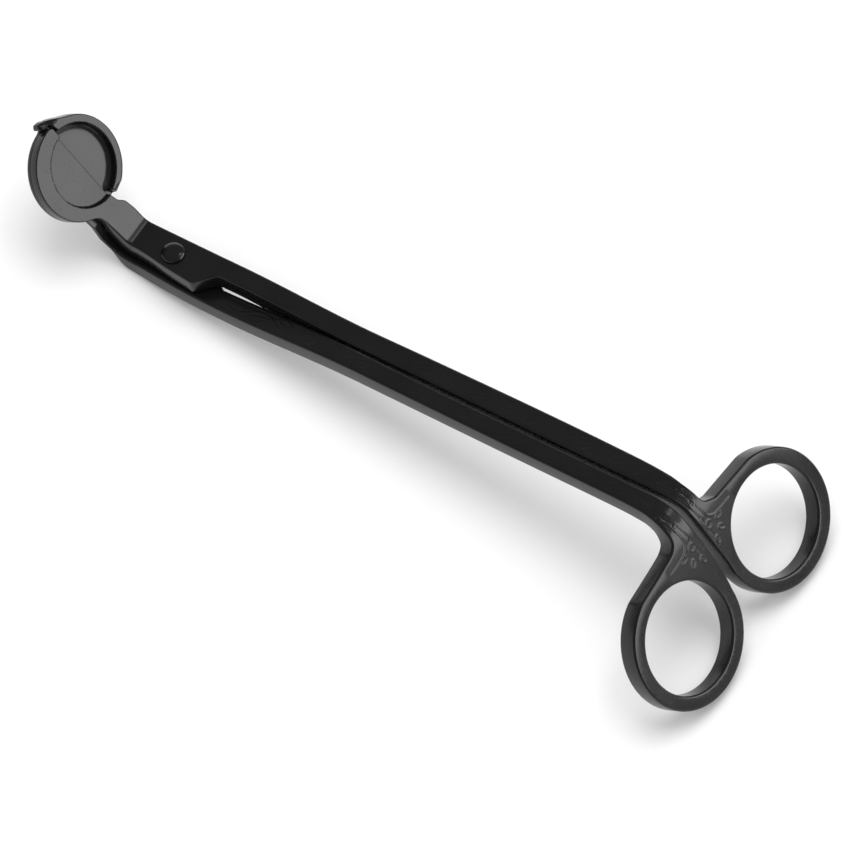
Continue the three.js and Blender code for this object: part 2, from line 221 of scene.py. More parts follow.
# ------------------------------------------------------------------ outlines
B_LEFT = [[TL, 1.68], [6, 1.75], [20, 1.75], [60, 1.85], [84, 1.9], [98, 1.9], [107.2, 1.82]]
B_LEFT2 = [[110.9, -2.0], [117, -1.35], [U_HB, -0.3], [U_HEAD + 2, -0.5], [U_HEAD + 6, -0.8]]
B_RIGHT = [[U_RING, 5.55], [TL, 5.75], [6, 6.25], [14, 6.7], [34, 6.85], [60, 6.65], [90, 6.2], [110, 6.1], [U_HB, 6.15],
           [U_HEAD + 2.7, 6.05], [U_HEAD + 6.2, 5.5]]
A_LEFT = [[U_RING, -5.15], [TL, -4.2], [7, -3.5], [14, -3.25], [40, -3.15], [60, -3.0], [80, -2.85], [105, -2.65],
          [112, -2.5], [117, -2.2], [121.5, -1.85], [U_HB, -1.5], [U_HEAD + 1, -1.8], [U_HEAD + 4, -2.3],
          [U_HEAD + 8, -2.65], [U_HEAD + 9.4, -2.75]]
A_RIGHT = [[U_RING, 0.1], [TL, 0.45], [7, 0.8], [14, 0.95], [60, 1.1], [80, 1.5], [90, 1.76], [98, 1.78], [106.6, 1.65]]
A_RIGHT2 = [[110, 5.7], [118, 6.0], [121.5, 4.6], [U_HB, 2.05], [U_HEAD + 2, 1.65], [U_HEAD + 4, 1.65],
            [U_HEAD + 6, 1.95], [U_HEAD + 8.9, 2.6]]


def ring_points(is_b):
    """Ring plate outline in (l, w), from the inner edge round the ring to the neck."""
    cw = RING_C_W if is_b else -RING_C_W
    oc = cw + (RING_SHIFT["blade"] if is_b else RING_SHIFT["tray"])
    d = 1 if is_b else -1
    a1 = math.pi - 0.25
    join = [RING_C_L + RING_R * math.cos(a1), oc + d * RING_R * math.sin(a1)]
    knee = [4.95, 8.2] if is_b else [4.75, -7.4]
    mid = [3.9, 6.1] if is_b else [3.8, -5.5]
    circle = arc(RING_C_L, oc, RING_R, -d * (math.pi / 2 - (0 if is_b else 0.12)), d * a1, 120)
    inner = [[3.8, 1.66], [9, 1.65], [15, 1.65], [RING_C_L - 2.2, 1.55]] if is_b else \
        [[3.8, 0.08], [9, 0.05], [14, -0.1], [17.8, -0.5]]
    return (inner + circle
            + bezier(join, [5.6, join[1] - d * 3], [5.15, knee[1] + d * 2.6], knee, 16) + [knee]
            + bezier(knee, [4.5, knee[1] - d * 0.9], [4.1, mid[1] + d * 0.5], mid, 8) + [mid])


def l_to_u(pts):
    return [[U_RING - (l - TL), w] for l, w in pts]


def run(tab, step=0.5):
    lo, hi = tab[0][0], tab[-1][0]
    u = np.linspace(lo, hi, int((hi - lo) / step) + 2)
    return np.stack([u, pchip(tab, u)], 1).tolist()


def outline_blade():
    edge = DISC_W + EDGE_W
    a0 = math.asin(0.5 / DISC_R)
    head = [[6.6, -0.83], [8.1, -1.2], [8.95, -1.95]] + arc(DISC_H, DISC_W, DISC_R, 2 * math.pi - 2.62 - 2 * math.pi, a0, 110) \
        + [[DISC_H + 9.9, edge - 0.1], [DISC_H - 9.1, edge], [DISC_H - 9.4, edge + 0.15], [7.6, 4.3]]
    pts = run(B_LEFT) + run(B_LEFT2) + [[U_HEAD + a, b] for a, b in head] + run(B_RIGHT)[::-1] + l_to_u(ring_points(True)[::-1])
    return pts


RIM_OUT = arc(0, 0, DISC_R, math.radians(163), math.radians(34), 80)
LUG = [[9.45, 4.7], [10.9, 2.8], [12.0, 0.8], [12.2, -0.3], [11.4, -0.9], [10.95, -0.5], [10.9, 0.6], [10.7, 1.2], [10.3, 1.7]]
RIM_IN = arc(0, 0, RIM_IN_R, math.radians(12), math.radians(166), 80)
RIM_POLY = np.array([[a + DISC_H, b + DISC_W] for a, b in RIM_OUT + LUG + RIM_IN])


def outline_tray():
    base = arc(0, 0, DISC_R, math.radians(-149.4), math.radians(-5), 100) + LUG[::-1][2:] \
        + arc(0, 0, DISC_R, math.radians(34), math.radians(178.5), 110)
    head = [[a + DISC_H + U_HEAD, b + DISC_W] for a, b in base]
    pts = run(A_LEFT) + head + run(A_RIGHT2)[::-1] + run(A_RIGHT)[::-1] + l_to_u(ring_points(False))
    return pts


# ------------------------------------------------------------------ heights
def table(tab, x):
    t = np.array(tab, float)
    return np.interp(x, t[:, 0], t[:, 1])


def heights(is_b):
    def droop(u):
        return 0.42 * np.clip((U_RING - u - 5) / 25.0, 0, 1.3) ** 2

    def g(u):
        return smooth((u - 72) / 33.0)

    def f(u):
        return smooth((u - U_HB) / A2)

    if is_b:
        def top(u, w):
            n = np.where(u < U_HB, LIFT * g(u), LIFT) - droop(u)
            h = u - U_HEAD
            d = np.hypot(h - (DISC_H - 0.7), w - (DISC_W + EDGE_W))
            return n - RECESS_D * smooth((RECESS_R - d) / 0.34)

        def bot(u, w):
            t = RING_T + (SHANK_T - RING_T) * smooth((u - U_RING) / A1)
            n = -t + (SHANK_T - LIFT + LAP_GAP / 2) * smooth((u - 84) / 21.0)
            n = np.where(u > U_HB, -1.80 + (LIFT - 3.4 + 1.80) * f(u), n)
            h = u - U_HEAD
            return np.where(h > TC, LIFT + table([[0, -3.4], [3, -3.05], [6.2, -BLADE_T], [9.5, -BLADE_T], [11, -1.95], [40, -1.95]], h), n)
    else:
        def top(u, w):
            n = -(LIFT + LAP_GAP / 2) * g(u) - droop(u)
            n = np.where(u > U_HB, -2.10 + (LIFT - 3.85 + 2.10) * f(u), n)
            h = u - U_HEAD
            base = LIFT + table([[0, -3.85], [3, -3.5], [6.8, -2.0], [40, -2.0]], h)
            n = np.where(h > TC, base, n) - 0.6 * np.exp(-((u - 127.2) / 3.0) ** 2)
            # raised rim with sloping ends
            far = h > 5
            if np.any(far):
                q = np.stack([np.atleast_1d(h)[far], np.atleast_1d(w)[far]], 1)
                sd = seg_dist(q, RIM_POLY[::2], True) * np.where(inside(q, RIM_POLY), 1, -1)
                a = q[:, 0] - DISC_H
                b = q[:, 1] - DISC_W
                fil = 0.5 * np.clip(1 + sd / 1.5, 0, 1) ** 2 * smooth((b - EDGE_W - 0.15) / 0.9)
                fil = np.where((np.hypot(a, b) < RIM_IN_R + 0.05) & (sd < 0), fil, 0)
                crown = np.interp(a, [-12, -9.5, -9.0, 8.9, 10.3, 11.2, 12.2, 14.5], [-1.6, -0.35, -0.05, -0.05, -0.05, -0.9, -1.3, -1.45])
                k = np.clip((sd + 0.06) / 0.42, 0, 1)
                prof = np.where(k < 0.35, smooth(k / 0.35) * 0.8, 0.8 + 0.2 * np.sqrt(np.clip(1 - ((1 - k) / 0.65) ** 2, 0, 1)))
                n = np.array(n, float)
                n[far] = n[far] + fil
                n[far] = np.maximum(n[far], n[far] * (1 - prof) + (LIFT + crown) * prof)
            return n

        def bot(u, w):
            t = RING_T + (SHANK_T - RING_T) * smooth((u - U_RING) / A1)
            n = -t - (LIFT + LAP_GAP / 2 + BOSS_T - SHANK_T) * g(u)
            n = np.where(u > U_HB, -5.85 + (LIFT - 5.0 + 5.85) * f(u), n)
            h = u - U_HEAD
            return np.where(h > TC, LIFT + table([[0, -5.0], [3, -4.5], [7.2, -HEAD_H], [40, -HEAD_H]], h), n)
    return top, bot


def edge_radius(is_b):
    def r(u, w):
        h = u - U_HEAD
        e = np.interp(h, [-6, 4, 7.5, 9], [0.5, 0.4, 0.22 if is_b else 0.1, 0.2 if is_b else 0.08])
        # where the two arms run side by side the facing edges are tighter
        k = smooth((1.5 - np.abs(w - 1.6)) / 0.5) * smooth((108.5 - u) / 1.5)
        k = k * np.maximum(smooth((u - 74) / 8.0), smooth((10 - u) / 6.0))
        e = e + (0.28 - e) * k
        # the tray's raised rim keeps a soft shoulder
        if not is_b:
            far = smooth((h - 9.0) / 1.0) * smooth((w - 3.5) / 1.0)
            e = e + (0.3 - e) * far
        return e

    def rb(u, w):
        h = u - U_HEAD
        lim = np.interp(h, [-6, 4, 7.5, 9], [0.32, 0.3, 0.08, 0.06]) if is_b else 0.3
        k = smooth((1.5 - np.abs(w - 1.6)) / 0.5) * smooth((108.5 - u) / 1.5)
        return np.minimum(np.minimum(r(u, w), lim), 0.32 - 0.14 * k)

    return r, rb


# ------------------------------------------------------------------ plate mesher
STEP = 0.3


def plate(is_b, loop, holes, relief, loops_top, dense):
    """Outline extruded between its two height fields, with rounded edges,
    then rolled into place. Returns the mesh."""
    top, bot = heights(is_b)
    rad, rad_b = edge_radius(is_b)
    K = 6
    verts, faces = [], []
    caps_t, caps_b = [], []

    def put(p, n):
        base = sum(len(v) for v in verts)
        verts.append(np.column_stack([p, n]))
        return base

    for li, lp in enumerate([loop] + holes):
        nv = normals_in(lp)
        if li:
            nv = -nv                                     # holes run counter-clockwise too
        r = rad(lp[:, 0], lp[:, 1])
        q = lp + nv * r[:, None]
        nt, nb = top(q[:, 0], q[:, 1]), bot(q[:, 0], q[:, 1])
        r = np.minimum(r, 0.42 * (nt - nb))
        rb = np.minimum(rad_b(lp[:, 0], lp[:, 1]), 0.42 * (nt - nb))
        q = lp + nv * r[:, None]
        qb = lp + nv * rb[:, None]
        rows = []
        for k in range(K + 1):                            # bottom edge, cap to wall
            a = math.pi / 2 * (1 - k / K)
            rows.append(put(lp + nv * (rb * (1 - math.cos(a)))[:, None], nb + rb * (1 - math.sin(a))))
        rows.append(put(lp, (nt + nb) / 2))
        for k in range(K + 1):                            # wall to top cap
            a = math.pi / 2 * k / K
            rows.append(put(lp + nv * (r * (1 - math.cos(a)))[:, None], nt - r * (1 - math.sin(a))))
        m = len(lp)
        j = np.arange(m)
        jn = (j + 1) % m
        for a, b in zip(rows[:-1], rows[1:]):
            f = np.stack([a + j, a + jn, b + jn, b + j], 1)
            faces.append(f if not li else f[:, ::-1])
        caps_b.append((qb, rows[0]))
        caps_t.append((q, rows[-1]))

    def cap(rings, extra, pts, height, up):
        co, ed = [], []
        ids = []
        for q, base in rings:
            s = len(co)
            co += q.tolist()
            ids += list(range(base, base + len(q)))
            ed += [(s + i, s + (i + 1) % len(q)) for i in range(len(q))]
        nb_ = len(co)
        allow = np.ones(len(pts), bool) if len(pts) else np.zeros(0, bool)
        if len(pts):
            allow = inside(pts, rings[0][0])
            for q, _ in rings[1:]:
                allow &= ~inside(pts, q)
            near = np.full(len(pts), 1e9)
            bc = np.array(co)
            # keep the grid clear of the boundary
            for i0 in range(0, len(pts), 4000):
                blk = pts[i0:i0 + 4000]
                sel = bc[(bc[:, 0] > blk[:, 0].min() - 1) & (bc[:, 0] < blk[:, 0].max() + 1)]
                if len(sel):
                    for j0 in range(0, len(sel), 400):
                        d = ((blk[:, None, :] - sel[None, j0:j0 + 400, :]) ** 2).sum(-1).min(1)
                        near[i0:i0 + 4000] = np.minimum(near[i0:i0 + 4000], d)
            allow &= near > 0.12 ** 2
            co += pts[allow].tolist()
        for e in extra:
            s = len(co)
            co += e.tolist()
        out = delaunay_2d_cdt([Vector(c) for c in co], ed, [], 0, 1e-5)
        vo, _, fo, orig = out[0], out[1], out[2], out[3]
        vo = np.array([[v.x, v.y] for v in vo])
        tri = np.array([f[:3] for f in fo if len(f) == 3])
        cen = vo[tri].mean(1)
        ok = inside(cen, rings[0][0])
        for q, _ in rings[1:]:
            ok &= ~inside(cen, q)
        tri = tri[ok]
        remap = np.full(len(vo), -1)
        for i, o in enumerate(orig):
            for s in o:
                if s < nb_:
                    remap[i] = ids[s]
                    break
        free = np.unique(tri[remap[tri] < 0])
        if len(free):
            p = vo[free]
            base = put(p, height(p[:, 0], p[:, 1]))
            remap[free] = base + np.arange(len(free))
        t = remap[tri]
        area = np.cross(vo[tri[:, 1]] - vo[tri[:, 0]], vo[tri[:, 2]] - vo[tri[:, 0]])
        t[area < 0] = t[area < 0][:, ::-1]
        return t if up else t[:, ::-1]

    def top_h(u, w):
        n = top(u, w)
        return n if relief is None else n + relief(u, w)

    tri_t = cap(caps_t, loops_top, dense, top_h, True)
    # the underside only needs points where it bends
    us = np.concatenate([np.arange(U_FLAT - 0.4, U_BEND + 0.4, 0.3), np.arange(8, 124, 1.6), np.arange(124, U_HEAD + 8.2, 0.35)])
    ws = np.arange(-6, 8, 0.9)
    gb = np.stack(np.meshgrid(us, ws), -1).reshape(-1, 2)
    tri_b = cap(caps_b, [], gb, bot, False)

    v = np.vstack(verts)
    p = to_world(unroll(v[:, 0], v[:, 1], v[:, 2], is_b))
    allf = [tuple(int(i) for i in f) for blk in faces for f in blk] + [tuple(int(i) for i in f) for f in np.vstack([tri_t, tri_b])]
    me = bpy.data.meshes.new("m")
    me.from_pydata(p.tolist(), [], allf)
    me.validate()
    me.shade_smooth()
    # bar coordinates kept on the mesh, in metres
    at = me.attributes.new("bar", "FLOAT_VECTOR", "POINT")
    if len(me.vertices) == len(v):
        at.data.foreach_set("vector", (v / 1000.0).astype(np.float32).ravel())
    return me


def obj_from(name, me, mat, body, *nodes):
    o = bpy.data.objects.new(name, me)
    bpy.context.scene.collection.objects.link(o)
    me.materials.append(mat)
    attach(o, body)
    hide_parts(*nodes)
    return o


# ------------------------------------------------------------------ materials
def coat(name, rough, tone, orange=0.5, scuff=0.04):
    """Baked black coat over steel: dark, slightly uneven gloss, faint orange peel."""
    m = bpy.data.materials.new(name)
    m.use_nodes = True
    nt = m.node_tree
    nt.nodes.clear()
    N, L = nt.nodes.new, nt.links.new
    out = N("ShaderNodeOutputMaterial")
    b = N("ShaderNodeBsdfPrincipled")
    b.inputs["Metallic"].default_value = 0.0
    b.inputs["IOR"].default_value = 1.34
    b.inputs["Coat Weight"].default_value = 0.15
    b.inputs["Coat Roughness"].default_value = 0.12
    b.inputs["Coat IOR"].default_value = 1.5
    L(b.outputs[0], out.inputs[0])
    tc = N("ShaderNodeTexCoord")
    big = N("ShaderNodeTexNoise")
    big.inputs["Scale"].default_value = 90
    big.inputs["Detail"].default_value = 4
    L(tc.outputs["Object"], big.inputs["Vector"])
    fine = N("ShaderNodeTexNoise")
    fine.inputs["Scale"].default_value = 1500
    fine.inputs["Detail"].default_value = 3
    L(tc.outputs["Object"], fine.inputs["Vector"])
    # colour: near black with a little variation
    ramp = N("ShaderNodeValToRGB")
    ramp.color_ramp.elements[0].position = 0.3
    ramp.color_ramp.elements[0].color = (tone * 0.8, tone * 0.82, tone * 0.88, 1)
    ramp.color_ramp.elements[1].position = 0.72
    ramp.color_ramp.elements[1].color = (tone * 1.25, tone * 1.25, tone * 1.3, 1)
    L(big.outputs["Fac"], ramp.inputs["Fac"])
    L(ramp.outputs["Color"], b.inputs["Base Color"])
    # roughness: broad clouding plus specks of scuffing
    mr = N("ShaderNodeMapRange")
    mr.inputs["From Min"].default_value = 0.3
    mr.inputs["From Max"].default_value = 0.7
    mr.inputs["To Min"].default_value = rough - scuff
    mr.inputs["To Max"].default_value = rough + scuff
    L(big.outputs["Fac"], mr.inputs["Value"])
    sp = N("ShaderNodeMapRange")
    sp.inputs["From Min"].default_value = 0.6
    sp.inputs["From Max"].default_value = 0.8
    sp.inputs["To Min"].default_value = 0.0
    sp.inputs["To Max"].default_value = 0.12
    L(fine.outputs["Fac"], sp.inputs["Value"])
    ad = N("ShaderNodeMath")
    ad.operation = "ADD"
    L(mr.outputs[0], ad.inputs[0])
    L(sp.outputs[0], ad.inputs[1])
    L(ad.outputs[0], b.inputs["Roughness"])
    # orange peel
    mid = N("ShaderNodeTexNoise")
    mid.inputs["Scale"].default_value = 620
    mid.inputs["Detail"].default_value = 2
    L(tc.outputs["Object"], mid.inputs["Vector"])
    bump = N("ShaderNodeBump")
    bump.inputs["Strength"].default_value = 0.10 * orange
    bump.inputs["Distance"].default_value = 0.0003
    L(mid.outputs["Fac"], bump.inputs["Height"])
    L(bump.outputs[0], b.inputs["Normal"])
    return m


coat_arm_t = coat("coat_tray_arm", 0.24, 0.005)
coat_arm_b = coat("coat_blade_arm", 0.24, 0.005)
coat_rivet = coat("coat_rivet", 0.16, 0.005, orange=0.3)
coat_washer = coat("coat_washer", 0.36, 0.010)


# ------------------------------------------------------------------ arms
def finish_loop(pts, soft, sharp):
    """Even steps, corners eased; the head keeps crisper corners."""
    p = resample(pts, 0.1)
    a, b = gauss_loop(p, soft, 0.1), gauss_loop(p, sharp, 0.1)
    h = p[:, 0] - U_HEAD
    k = smooth((h - 7.0) / 1.5)[:, None]
    q = a * (1 - k) + b * k
    q = resample(q, STEP)
    area = 0.5 * np.sum(q[:, 0] * np.roll(q[:, 1], -1) - np.roll(q[:, 0], -1) * q[:, 1])
    return q if area > 0 else q[::-1]


def circle_loop(cx, cy, r, step=STEP):
    n = int(2 * math.pi * r / step)
    a = np.linspace(0, 2 * math.pi, n, endpoint=False)
    return np.stack([cx + r * np.cos(a), cy + r * np.sin(a)], 1)


def grid(u0, u1, w0, w1, step):
    us, ws = np.arange(u0, u1, step), np.arange(w0, w1, step)
    g = np.stack(np.meshgrid(us, ws), -1)
    g[1::2, :, 0] += step * 0.5
    return g.reshape(-1, 2)


ring_u = U_RING - (RING_C_L - TL)
fine_step = 0.16


class Relief:
    """Raised line work on the top faces, kept on a fine height grid over (u, w)."""

    U0, W0, CELL = -28.0, -12.0, 0.05

    def __init__(self):
        self.h = np.zeros((int(136 / self.CELL), int(24 / self.CELL)))

    def window(self, lo, hi):
        i0, j0 = int((lo[0] - self.U0) / self.CELL), int((lo[1] - self.W0) / self.CELL)
        i1, j1 = int((hi[0] - self.U0) / self.CELL) + 2, int((hi[1] - self.W0) / self.CELL) + 2
        i0, j0 = max(i0, 0), max(j0, 0)
        i1, j1 = min(i1, self.h.shape[0]), min(j1, self.h.shape[1])
        u = self.U0 + np.arange(i0, i1) * self.CELL
        w = self.W0 + np.arange(j0, j1) * self.CELL
        return (slice(i0, i1), slice(j0, j1)), np.stack(np.meshgrid(u, w, indexing="ij"), -1)

    def stroke(self, pts, half, height, taper=False, closed=False):
        pts = np.array(pts, float)
        sl, g = self.window(pts.min(0) - half * 2, pts.max(0) + half * 2)
        q = np.vstack([pts, pts[:1]]) if closed else pts
        d = np.full(g.shape[:2], 1e9)
        n = len(q) - 1
        for i, (a, b) in enumerate(zip(q[:-1], q[1:])):
            ab = b - a
            t = np.clip(((g - a) @ ab) / max(ab @ ab, 1e-12), 0, 1)
            k = 1.0 if not taper else 0.55 + 0.45 * np.sin(math.pi * np.clip((i + t) / n, 0.02, 0.98))
            d = np.minimum(d, np.hypot(*np.moveaxis(g - a - t[..., None] * ab, -1, 0)) / k)
        self.h[sl] = np.maximum(self.h[sl], height * smooth(1.0 - d / (half * 1.6)))

    def pad(self, c, length, width, ang, height):
        """A small drop shape, drawn as a raised outline."""
        t = np.linspace(0, 2 * math.pi, 28, endpoint=False)
        e = np.stack([length / 2 * np.cos(t), width / 2 * np.sin(t) * (1 - 0.3 * np.cos(t))], 1)
        R = np.array([[math.cos(ang), -math.sin(ang)], [math.sin(ang), math.cos(ang)]])
        self.stroke(e @ R.T + np.array(c), 0.13, height, closed=True)

    def __call__(self, u, w):
        x = (np.asarray(u) - self.U0) / self.CELL
        y = (np.asarray(w) - self.W0) / self.CELL
        ok = (x >= 0) & (x < self.h.shape[0] - 2) & (y >= 0) & (y < self.h.shape[1] - 2)
        x, y = np.where(ok, x, 0), np.where(ok, y, 0)
        i, j = x.astype(int), y.astype(int)
        a, b = x - i, y - j
        h = self.h
        v = (h[i, j] * (1 - a) * (1 - b) + h[i + 1, j] * a * (1 - b) + h[i, j + 1] * (1 - a) * b + h[i + 1, j + 1] * a * b)
        return np.where(ok, v, 0.0)


def curve(pts, n=40):
    """Smooth curve through points (Catmull-Rom)."""
    p = np.array(pts, float)
    p = np.vstack([2 * p[0] - p[1], p, 2 * p[-1] - p[-2]])
    out = []
    m = max(4, n // (len(p) - 3))
    for i in range(1, len(p) - 2):
        for t in np.linspace(0, 1, m, endpoint=False):
            out.append(0.5 * (2 * p[i] + (p[i + 1] - p[i - 1]) * t + (2 * p[i - 1] - 5 * p[i] + 4 * p[i + 1] - p[i + 2]) * t * t
                              + (3 * p[i] - p[i - 1] - 3 * p[i + 1] + p[i + 2]) * t ** 3))
    out.append(p[-2])
    return out


def spiral(c, r0, r1, a0, turns, n=26):
    t = np.linspace(0, 1, n)
    a = a0 + turns * 2 * math.pi * t
    r = r0 + (r1 - r0) * t
    return np.stack([c[0] + r * np.cos(a), c[1] + r * np.sin(a)], 1)


def ornament(is_b):
    R = Relief()
    left, right = (B_LEFT, B_RIGHT) if is_b else (A_LEFT, A_RIGHT)

    def lo(u):
        return pchip(left, u)

    def hi(u):
        return pchip(right, u)

    u0, u1 = 9.0, (103.5 if is_b else 104.5)
    us = np.linspace(u0, u1, 120)
    for off, side in ((0.62, lo), (-0.62, hi)):
        R.stroke(np.stack([us, side(us) + off], 1), 0.13, 0.075)
    # running stem with leaves and curls between the border lines
    period = 12.0
    us = np.linspace(u0 + 1, u1 - 1, 360)
    mid = (lo(us) + hi(us)) / 2
    amp = (hi(us) - lo(us)) / 2 - 1.25
    R.stroke(np.stack([us, mid + amp * np.sin(2 * math.pi * (us - u0) / period)], 1), 0.12, 0.08)
    n = int((u1 - u0 - 4) / (period / 2))
    for i in range(n):
        u = u0 + 3 + period / 4 + i * period / 2 - period / 4
        s = 1 if i % 2 else -1
        m = float((lo(u) + hi(u)) / 2)
        a = float((hi(u) - lo(u)) / 2 - 0.85)
        # leaf: two bowed strokes and a vein
        tip = [u + 3.0, m + s * a * 0.75]
        R.stroke(curve([[u - 1.6, m - s * a * 0.2], [u + 0.6, m + s * a * 0.95], tip]), 0.14, 0.085, taper=True)
        R.stroke(curve([[u - 1.6, m - s * a * 0.2], [u + 1.2, m + s * a * 0.15], tip]), 0.12, 0.08, taper=True)
        R.stroke(spiral([u + 2.6, m - s * a * 0.55], 0.62, 0.16, math.pi / 2 * s, 1.15 * s), 0.11, 0.075)
    # handle: leaf scroll over the bend, a bead and three drops on the web
    d = 1 if is_b else -1

    def q(u, w):
        # laid out for the blade arm; the tray arm has it mirrored
        return [u, w] if is_b else [u, 0.75 - w]

    us = np.linspace(8.5, -9.5, 50)
    inner = pchip([[-10, 1.9], [U_RING, 1.9], [TL, 1.8], [9, 1.85]], us) + 0.75
    R.stroke([q(u, w) for u, w in zip(us, inner)], 0.14, 0.1)
    R.stroke(curve([q(9.0, 6.0), q(5.5, 5.4), q(2.6, 4.3), q(-0.6, 3.9), q(-2.6, 4.2), q(-3.9, 5.5), q(-4.3, 7.6), q(-4.5, 10.4)], 70), 0.17, 0.13)
    R.stroke(curve([q(7.5, 3.0), q(4.6, 3.4), q(1.8, 3.1), q(-0.9, 2.7), q(-2.7, 3.0)], 50), 0.15, 0.12, taper=True)
    R.stroke(curve([q(7.2, 3.2), q(5.2, 4.6), q(2.6, 4.9 if is_b else 4.7), q(0.6, 4.4)], 40), 0.13, 0.1, taper=True)
    R.stroke(spiral(q(3.4, 4.15), 0.75, 0.2, 0.3 * d, 1.3 * d), 0.13, 0.12)
    R.stroke(spiral(q(0.9, 3.45), 0.62, 0.18, math.pi + 0.3 * d, -1.25 * d), 0.13, 0.12)
    R.stroke(circle_loop(*q(-4.4, 3.4), 0.78, 0.1), 0.14, 0.13, closed=True)
    for c in ((-4.9, 6.4), (-7.1, 5.3), (-8.2, 2.95)):
        v = np.array(q(*c)) - np.array(q(-4.4, 3.4))
        R.pad(q(*c), 1.7, 0.95, math.atan2(v[1], v[0]), 0.13)
    return R


loop_b = finish_loop(outline_blade(), 0.35, 0.1)
holes_b = [circle_loop(ring_u, RING_C_W, HOLE_R), circle_loop(PIVOT_S, PIVOT_W, HOLE_CLEAR_R, 0.2)]
rc = [DISC_H - 0.7 + U_HEAD, DISC_W + EDGE_W]
rec = [circle_loop(rc[0], rc[1], RECESS_R - d, 0.2) for d in (0.0, 0.06, 0.12, 0.17, 0.22, 0.28, 0.34)]
rec = [c[inside(c, loop_b)] for c in rec]
dense_b = np.vstack([grid(-12, 105, 1.8, 11, fine_step), grid(105, 128.5, -3, 9, 0.5), grid(-36, -12, -3, 31, 0.8), grid(128.5, U_HEAD + 31, -9, 8, 0.4)])
me_b = plate(True, loop_b, holes_b, ornament(True), rec, dense_b)
blade_arm = obj_from("blade_arm_coated", me_b, coat_arm_b, "blade_side", "blade_arm")

loop_t = finish_loop(outline_tray(), 0.35, 0.12)
holes_t = [circle_loop(ring_u, -RING_C_W, HOLE_R), circle_loop(PIVOT_S, PIVOT_W, HOLE_CLEAR_R, 0.2)]
rim = resample(RIM_POLY + [U_HEAD, 0], 0.2)
rim_n = normals_in(rim)
if 0.5 * np.sum(rim[:, 0] * np.roll(rim[:, 1], -1) - np.roll(rim[:, 0], -1) * rim[:, 1]) < 0:
    rim_n = -rim_n
rims = [rim + rim_n * d for d in (-0.06, 0.0, 0.05, 0.09, 0.14, 0.2, 0.28, 0.36)]
rims = [c[inside(c, loop_t)] for c in rims]
dense_t = np.vstack([grid(-12, 105, -10.5, 1.8, fine_step), grid(105, 128.5, -9, 7, 0.5), grid(-36, -12, -31, 3, 0.8), grid(128.5, U_HEAD + 33, -9, 14, 0.4)])
me_t = plate(False, loop_t, holes_t, ornament(False), rims, dense_t)
tray_arm = obj_from("tray_arm_coated", me_t, coat_arm_t, "tray_side", "tray_arm")


# ------------------------------------------------------------------ rivet, washer
def lathe(name, prof, segs=96):
    """Closed (r, n) profile turned about the pivot."""
    prof = np.array(prof, float)
    a = np.linspace(0, 2 * math.pi, segs, endpoint=False)
    v, f = [], []
    idx = []
    for r, n in prof:
        if r < 1e-6:
            idx.append([len(v)] * segs)
            v.append([PIVOT_S, -PIVOT_W, n])
        else:
            idx.append(list(range(len(v), len(v) + segs)))
            v += [[PIVOT_S + r * math.cos(t), -PIVOT_W + r * math.sin(t), n] for t in a]
    closed = prof[0][0] > 1e-6
    rows = list(zip(idx, idx[1:] + idx[:1])) if closed else list(zip(idx[:-1], idx[1:]))
    for p, q in rows:
        for i in range(segs):
            k = (i + 1) % segs
            quad = [p[i], p[k], q[k], q[i]]
            quad = [x for n_, x in enumerate(quad) if x not in quad[:n_]]
            if len(quad) >= 3:
                f.append(quad)
    me = bpy.data.meshes.new(name)
    me.from_pydata(to_world(v).tolist(), [], f)
    me.validate()
    me.shade_smooth()
    return me


def rounded(points, radii, n=5):
    """Profile corners eased by small arcs."""
    out = []
    P = [np.array(p, float) for p in points]
    for i, p in enumerate(P):
        r = radii[i]
        if r <= 0:
            out.append(p)
            continue
        a, b = P[i - 1] - p, P[(i + 1) % len(P)] - p
        a, b = a / np.linalg.norm(a), b / np.linalg.norm(b)
        for t in np.linspace(0, 1, n):
            out.append(p + a * r * (1 - t) ** 2 + b * r * t * t)
    return out


top_n, bot_n = LIFT + 0.1, -LIFT - LAP_GAP / 2 - BOSS_T
w_top = bot_n - 0.08
w_bot = w_top - 0.5
tail = w_bot - 0.08
dome = [[2.35 * math.cos(t) ** 0.9, top_n + 0.2 + 0.9 * math.sin(t)] for t in np.linspace(0, math.pi / 2, 14)]
dome[-1][0] = 0.0
prof = [[0.0, tail - 0.62], [0.9, tail - 0.61]] + [[0.9 + 1.1 * math.sin(t), tail - 0.61 + 0.46 * (1 - math.cos(t))] for t in np.linspace(0.2, math.pi / 2, 8)]
prof += [[2.0, tail], [1.5, tail], [1.5, top_n], [2.25, top_n], [2.35, top_n + 0.08]] + dome
rivet = obj_from("pivot_rivet_head", lathe("m", prof), coat_rivet, "tray_side", "pivot_rivet")
wp = rounded([[1.6, w_bot], [3.0, w_bot], [3.0, w_top], [1.6, w_top]], [0.1, 0.16, 0.16, 0.1])
washer = obj_from("tail_washer_ring", lathe("m", wp), coat_washer, "tray_side", "tail_washer")

for o in (blade_arm, tray_arm, rivet, washer):
    bm = bmesh.new()
    bm.from_mesh(o.data)
    bmesh.ops.recalc_face_normals(bm, faces=bm.faces)
    open_edges = sum(1 for e in bm.edges if len(e.link_faces) != 2)
    print(o.name, len(bm.verts), len(bm.faces), "open edges", open_edges)
    bm.to_mesh(o.data)
    bm.free()

